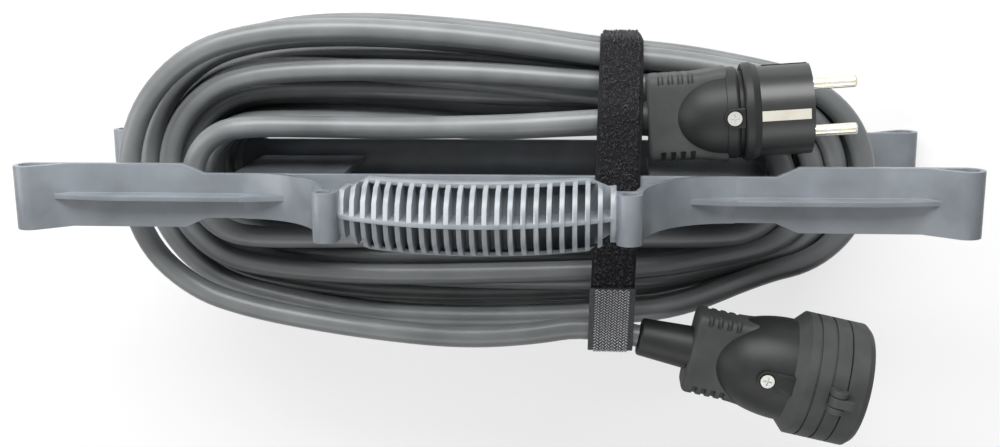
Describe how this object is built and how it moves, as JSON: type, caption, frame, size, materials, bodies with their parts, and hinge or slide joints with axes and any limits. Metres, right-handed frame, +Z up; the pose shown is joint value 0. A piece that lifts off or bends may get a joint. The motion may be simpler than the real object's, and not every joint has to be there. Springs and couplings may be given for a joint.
{
  "type": "shore power cord",
  "caption": "Earthed rubber extension cord wound on a flat plastic winder with a ribbed carrying handle, strapped, with a plug and a lidded socket.",
  "frame": {"origin": "on the surface that the winder stands on, under the middle of its frame", "axes": "+X along the rails, +Y across them, +Z up out of the handle"},
  "size_m": [0.39, 0.1771, 0.1646],
  "materials": {
    "frame_plastic": "satin blue-grey moulded plastic",
    "cable_rubber": "extruded rubber sheath, dull",
    "body_rubber": "moulded black rubber, dull",
    "insert_plastic": "moulded black polyamide",
    "plated_brass": "nickel-plated brass",
    "screw_steel": "zinc-plated steel",
    "loop_fabric": "fuzzy loop pile",
    "hook_fabric": "woven hook tape"
  },
  "bodies": {
    "winder": {"upper_rail": "frame_plastic", "lower_rail": "frame_plastic", "left_core_plate": "frame_plastic", "right_core_plate": "frame_plastic", "left_handle_arm": "frame_plastic", "right_handle_arm": "frame_plastic", "handle_grip": "frame_plastic", "cable_coil": "cable_rubber", "plug_lead": "cable_rubber", "socket_lead": "cable_rubber", "plug_housing": "body_rubber", "plug_insert": "insert_plastic", "plug_flange_ring": "insert_plastic", "plug_pin_line": "plated_brass", "plug_pin_neutral": "plated_brass", "plug_earth_clip_upper": "plated_brass", "plug_earth_clip_lower": "plated_brass", "plug_housing_screw": "screw_steel", "plug_strain_relief": "body_rubber", "socket_housing": "body_rubber", "socket_collar": "body_rubber", "socket_insert": "insert_plastic", "socket_contact_line": "plated_brass", "socket_contact_neutral": "plated_brass", "socket_earth_clip_upper": "plated_brass", "socket_earth_clip_lower": "plated_brass", "socket_housing_screw": "screw_steel", "socket_strain_relief": "body_rubber", "lid_hinge_pin": "screw_steel", "strap_band": "loop_fabric", "strap_hook_end": "hook_fabric"},
    "lid": {"socket_lid": "body_rubber"}
  },
  "joints": [
    {"name": "lid_hinge", "type": "hinge", "parent": "winder", "child": "lid", "pos_m": [0.14161, -0.07917, 0.1221], "axis": [-0.213, -0.977, 0], "range_deg": [0, 110], "stiffness_Nm_per_rad": 0.02, "springref_deg": -28.65}
  ]
}
